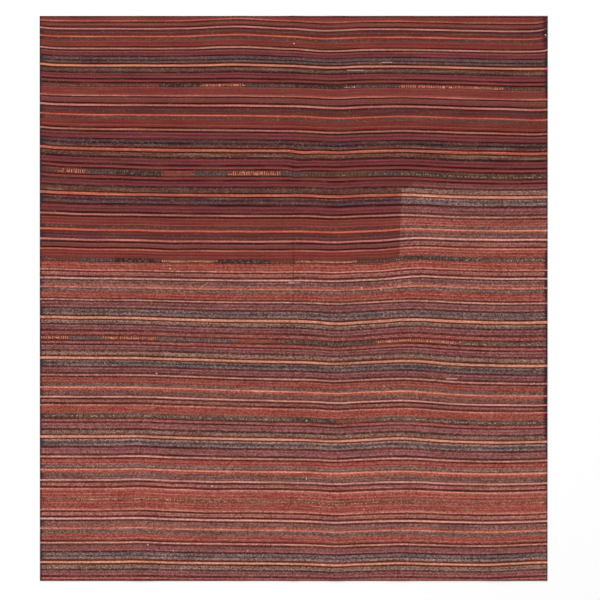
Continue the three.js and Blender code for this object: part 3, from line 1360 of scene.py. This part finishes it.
@dataclass
class Brocading:
    """The brocaded rows: each two courses of slanting wraps, which lean opposite ways."""

    form: ClothForm
    pitch: float = 3.3
    pitch_spread: Pair = (0.85, 1.15)
    inset: float = 0.9
    lean: float = 2.2
    sink: float = 0.15
    root: float = 0.08
    tip_spread: Pair = (0.85, 1.1)
    unsteady: float = 7.0
    odd_colour: float = 0.22
    bead_length: float = 3.2
    bead_spread: Pair = (0.6, 1.1)
    bead_thickness: float = 2.3
    bead_line: float = 0.3
    bead_shift: float = 1.0
    side_gap: float = 6.0
    tone_spread: float = 0.22
    seed: int = 23

    def build(self, index: int, row: BrocadeRow, start: float, end: float, finish: Material) -> Piece:
        """Builds one row's wraps.

        Args:
            index: The row's number from the upper end, from 1.
            row: The row's stretches.
            start: Where it begins on the chart, in millimetres from the upper end.
            end: Where it ends.
            finish: The yarns' material.

        Returns:
            The row's piece.
        """
        pile = YarnPile()
        draw = random.Random(self.seed + index)
        middle, half_height = (start + end) / 2, (end - start) / 2 - self.inset
        across, turn = self.side_gap, 0
        while across < self.form.width - self.side_gap - self.pitch:
            for course in (-1, 1):
                wrap = row.kind_at(across + draw.uniform(-self.unsteady, self.unsteady)).value
                self._wrap(pile, wrap, (across, middle), course * half_height, turn, draw)
            wrap = row.kind_at(across).value
            if draw.random() < wrap.beads:
                self._bead(pile, wrap, (across, middle + half_height * self.bead_line), draw)
            across += self.pitch * draw.uniform(*self.pitch_spread)
            turn += 1
        return make_piece(f"brocade_row_{index}", pile.finish(), finish)

    def _wrap(
        self, pile: YarnPile, wrap: Wrap, at: Pair, height: float, turn: int, draw: random.Random,
    ) -> None:
        """Lays one slanting wrap from the row's middle towards one of its sides."""
        across, middle = at
        by_chance = draw.random() < self.odd_colour or wrap.mixed
        number = draw.randrange(len(wrap.strands)) if by_chance else turn
        tone = 1 + draw.uniform(-self.tone_spread, self.tone_spread)
        colour = shade(linear(wrap.strands[number % len(wrap.strands)]), tone)
        rise = wrap.thickness * self.sink
        tip = middle + height * wrap.reach * draw.uniform(*self.tip_spread)
        near = self.form.point(across - self.lean / 2, middle - height * self.root, rise)
        far = self.form.point(across + self.lean / 2, tip, rise)
        pile.lay((near, far), wrap.thickness * MM, colour)

    def _bead(self, pile: YarnPile, wrap: Wrap, at: Pair, draw: random.Random) -> None:
        """Lays one bright bead of yarn along the wefts."""
        across, along = at
        along += draw.uniform(-self.bead_shift, self.bead_shift)
        place = self.form.point(across, along, self.bead_thickness * self.sink)
        half = Vector((self.bead_length / 2 * draw.uniform(*self.bead_spread) * MM, 0, 0))
        pile.lay((place - half, place + half), self.bead_thickness * MM, linear(wrap.bead))


@dataclass(frozen=True)
class Mark:
    """A thread or knot on the face: its two ends in plan, in millimetres from the upper left corner."""

    start: Pair
    end: Pair
    thickness: float
    colour: Colour


# A knot's thickness as a share of its length, and its colour.
KNOT_FLATNESS = 0.9
KNOT_COLOUR = (232, 208, 192)

# How far apart the darn's threads lie, and how many lie side by side.
DARN_PITCH = 5
DARN_THREADS = 3


def knot(across: float, along: float, size: float = 4.2) -> Mark:
    """A small pale knot at a place."""
    return Mark((across - size / 2, along), (across + size / 2, along), size * KNOT_FLATNESS, KNOT_COLOUR)


def thread(start: float, end: float, along: float, thickness: float, colour: Colour) -> Mark:
    """A loose thread that lies along the wefts."""
    return Mark((start, along), (end, along), thickness, colour)


def darn(start: Pair, end: Pair, thickness: float, colour: Colour) -> list[Mark]:
    """Slanting threads side by side, from the two ends of the one at the left."""
    steps = (DARN_PITCH * number for number in range(DARN_THREADS))
    return [Mark((start[0] + step, start[1]), (end[0] + step, end[1]), thickness, colour) for step in steps]


MARKS = (
    knot(763, 83), knot(1517, 57), knot(944, 213), knot(391, 758), knot(966, 815), knot(351, 1072),
    knot(1033, 1110, 3.4), knot(800, 1214), knot(800, 1388), knot(517, 1410), knot(325, 1585),
    knot(401, 1603), knot(972, 1480, 3.4), knot(999, 1527, 3.2),
    thread(1027, 1057, 139, 2.2, (206, 170, 150)),
    thread(922, 971, 163, 2.0, (198, 158, 140)),
    thread(747, 765, 800, 3.2, (206, 160, 150)),
    thread(770, 784, 800, 2.8, (176, 132, 128)),
    thread(733, 747, 860, 2.6, (216, 178, 164)),
    thread(1219, 1252, 1088, 3.0, (206, 168, 168)),
    thread(261, 344, 1175.5, 1.6, (206, 150, 120)),
    Mark((620, 1609), (626, 1600), 1.6, (206, 168, 150)),
    *darn((1012, 813), (1018, 808), 1.5, (164, 66, 58)),
    *darn((1013, 824), (1019, 831), 1.5, (156, 60, 52)),
    Mark((1021, 815), (1026, 824), 1.8, (226, 190, 164)),
)


@dataclass
class LooseMarks:
    """The knots and thread ends scattered over the face, and its one darn."""

    form: ClothForm
    name: str = "pale_threads"
    piece_length: float = 9.0
    piece_overlap: float = 0.18
    sink: float = 0.35

    def build(self, finish: Material) -> Piece:
        """Builds every mark into one joined piece."""
        pile = YarnPile()
        for mark in MARKS:
            self._mark(pile, mark)
        return make_piece(self.name, pile.finish(), finish)

    def _mark(self, pile: YarnPile, mark: Mark) -> None:
        """Lays one mark as short lengths that follow the face."""
        long = math.dist(mark.start, mark.end)
        count = max(1, round(long / self.piece_length))
        overlap = self.piece_overlap if count > 1 else 0.0
        for i in range(count):
            ends = tuple(self._on_face(mark, (i + side) / count) for side in (-overlap, 1 + overlap))
            pile.lay(ends, mark.thickness * MM, linear(mark.colour))

    def _on_face(self, mark: Mark, share: float) -> Vector:
        """A point along a mark, sunk a little into the face."""
        across = mark.start[0] + (mark.end[0] - mark.start[0]) * share
        along = mark.start[1] + (mark.end[1] - mark.start[1]) * share
        x, y = across - self.form.width / 2, self.form.length / 2 - along
        height = self.form.lift(x, y) + self.form.thickness + mark.thickness * self.sink / 2
        return Vector((x, y, height)) * MM


@dataclass(frozen=True)
class Studio:
    """A pale floor, soft light from all round and a camera that looks straight down."""

    floor_size: float = 12.0
    floor_drop: float = 0.0004
    floor_colour: float = 0.96
    floor_roughness: float = 0.9
    floor_specular: float = 0.1
    sky: float = 0.88
    lamp_power: float = 58.0
    lamp_size: float = 3.0
    lamp_place: tuple[float, float, float] = (-1.6, 1.9, 3.4)
    image_width: float = 1.8
    lens: float = 85.0
    sensor: float = 36.0
    aim: Pair = (0.0189, -0.0047)

    def build(self) -> None:
        """Builds the floor, the lights and the camera."""
        self._floor()
        self._lights()
        self._camera()
        bpy.context.scene.view_settings.view_transform = "Standard"

    def _floor(self) -> None:
        """The plain pale floor, a hair under the cloth."""
        bm = bmesh.new()
        bmesh.ops.create_grid(bm, x_segments=1, y_segments=1, size=self.floor_size / 2)
        bmesh.ops.translate(bm, verts=bm.verts, vec=(0, 0, -self.floor_drop))
        mesh = bpy.data.meshes.new("floor")
        bm.to_mesh(mesh)
        bm.free()
        paint = bpy.data.materials.new("floor_paint")
        paint.use_nodes = True
        surface = paint.node_tree.nodes["Principled BSDF"]
        surface.inputs["Base Color"].default_value = (*[self.floor_colour] * 3, 1.0)
        surface.inputs["Roughness"].default_value = self.floor_roughness
        surface.inputs["Specular IOR Level"].default_value = self.floor_specular
        mesh.materials.append(paint)
        floor = bpy.data.objects.new("floor", mesh)
        bpy.context.scene.collection.objects.link(floor)
        floor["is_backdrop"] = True

    def _lights(self) -> None:
        """An even white surround and one broad lamp from the upper left."""
        world = bpy.data.worlds.new("surround")
        world.use_nodes = True
        background = world.node_tree.nodes["Background"]
        background.inputs["Color"].default_value = (1.0, 1.0, 1.0, 1.0)
        background.inputs["Strength"].default_value = self.sky
        bpy.context.scene.world = world
        lamp = bpy.data.lights.new("broad_lamp", "AREA")
        lamp.size = self.lamp_size
        lamp.energy = self.lamp_power
        holder = bpy.data.objects.new("broad_lamp", lamp)
        holder.location = self.lamp_place
        holder.rotation_euler = (-Vector(self.lamp_place)).to_track_quat("-Z", "Y").to_euler()
        bpy.context.scene.collection.objects.link(holder)

    def _camera(self) -> None:
        """The camera over the cloth, its image upright with the upper end at the top."""
        lens = bpy.data.cameras.new("overhead")
        lens.lens, lens.sensor_width = self.lens, self.sensor
        holder = bpy.data.objects.new("overhead", lens)
        holder.location = (*self.aim, self.image_width * self.lens / self.sensor)
        bpy.context.scene.collection.objects.link(holder)
        bpy.context.scene.camera = holder


def write_sizes(low_high: Callable[[], tuple[Vector, Vector]], frame_box: tuple[Vector, Vector]) -> None:
    """Measures the dressed part and keeps its box beside the frame's box; nothing is written out.

    Args:
        low_high: What measures the dressed part.
        frame_box: The frame's lowest and highest corner.
    """
    boxes = {"cad": frame_box, "visual": low_high()}


def main() -> None:
    """Builds the kilim on its frame, from the cloth to the last pale thread."""
    logging.basicConfig(level=logging.INFO, format="%(name)s: %(message)s")
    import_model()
    frame_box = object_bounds()
    low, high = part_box(NODE)
    width, length = (high.x - low.x) / MM, (high.y - low.y) / MM
    Studio().build()
    form = ClothForm(width, length)
    chart = WeftChart(length)
    cloth = WovenCloth(form, chart, WornFlatweave(chart_scale=CHART_MARGIN * length)).build()
    LOG.info("%s: %d faces", cloth.name, len(cloth.data.polygons))
    yarn = LooseYarn().material()
    brocading = Brocading(form)
    worked = [brocading.build(i, *row, yarn) for i, row in enumerate(chart.rows, 1)]
    worked.append(LooseMarks(form).build(yarn))
    for piece in worked:
        LOG.info("%s: %d faces", piece.name, len(piece.data.polygons))
    write_sizes(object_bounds, frame_box)


if __name__ == "__main__":
    main()
